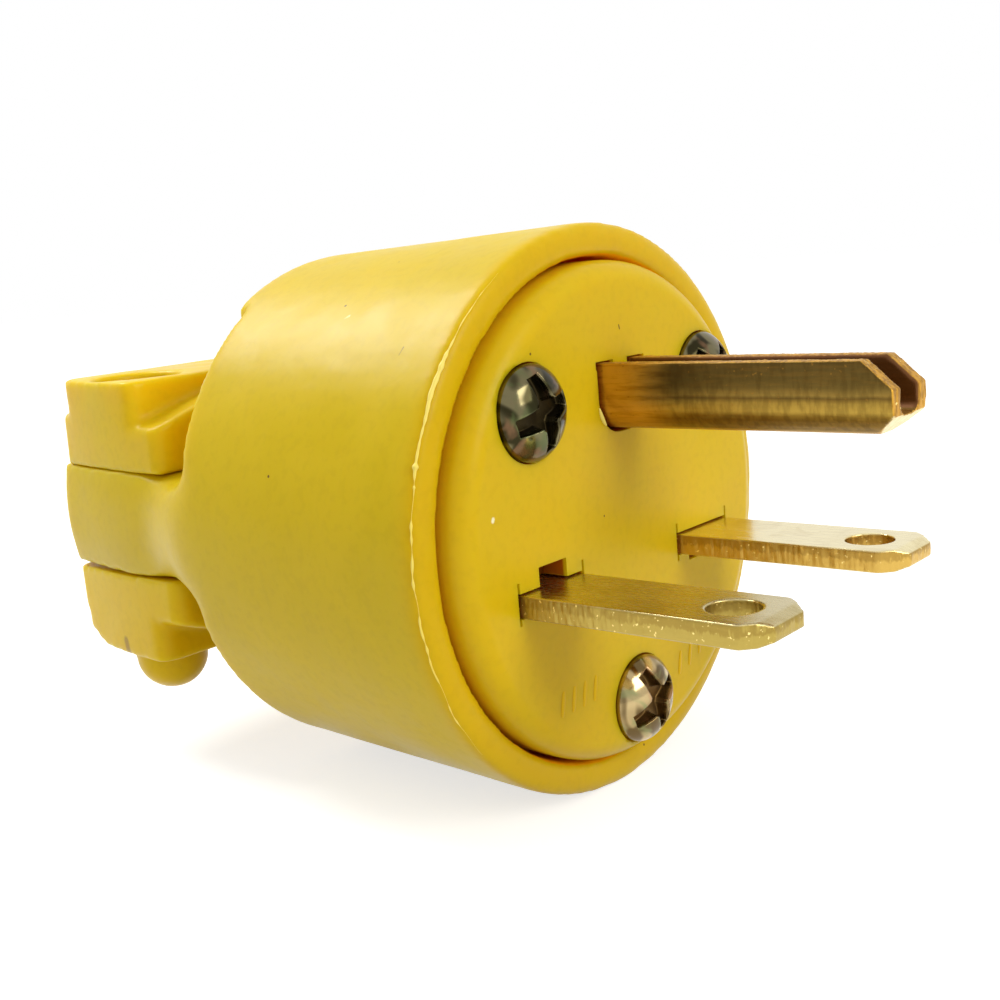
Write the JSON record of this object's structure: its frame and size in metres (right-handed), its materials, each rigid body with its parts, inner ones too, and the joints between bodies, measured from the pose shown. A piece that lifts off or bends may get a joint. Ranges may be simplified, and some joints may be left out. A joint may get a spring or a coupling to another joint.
{
  "type": "straight-blade power plug",
  "caption": "Rewirable yellow power plug with horizontal flat blades, a U-shaped ground pin and a screw-down cord clamp behind a round housing.",
  "frame": {"origin": "centre of the mating face, on the plug's axis", "axes": "-Y is the way the blades point, +Y the way the cord leaves, +Z towards the ground pin, X across both blades"},
  "size_m": [0.0398, 0.0672, 0.0398],
  "materials": {
    "yellow_nylon": "satin, moulded yellow",
    "yellow_face": "satin, moulded yellow",
    "ivory_phenolic": "moulded, dull",
    "brass_blade": "rolled sheet, sheared edges",
    "brass_screw": "turned",
    "green_screw": "green dyed",
    "brass_plate": "stamped",
    "zinc_screw": "zinc plated, slightly yellowed"
  },
  "bodies": {
    "root": {"housing": "yellow_nylon", "face_insulator": "yellow_face", "rear_insulator": "ivory_phenolic", "blade_left": "brass_blade", "blade_right": "brass_blade", "ground_pin": "brass_blade", "terminal_screw_left": "brass_screw", "terminal_screw_right": "brass_screw", "ground_screw": "green_screw", "pressure_plate_left": "brass_plate", "pressure_plate_right": "brass_plate", "ground_pressure_plate": "brass_plate", "face_screw_left": "zinc_screw", "face_screw_right": "zinc_screw", "face_screw_bottom": "zinc_screw", "cord_clamp_upper": "yellow_nylon", "cord_clamp_lower": "yellow_nylon", "clamp_screw_left": "zinc_screw", "clamp_screw_right": "zinc_screw"}
  },
  "joints": []
}
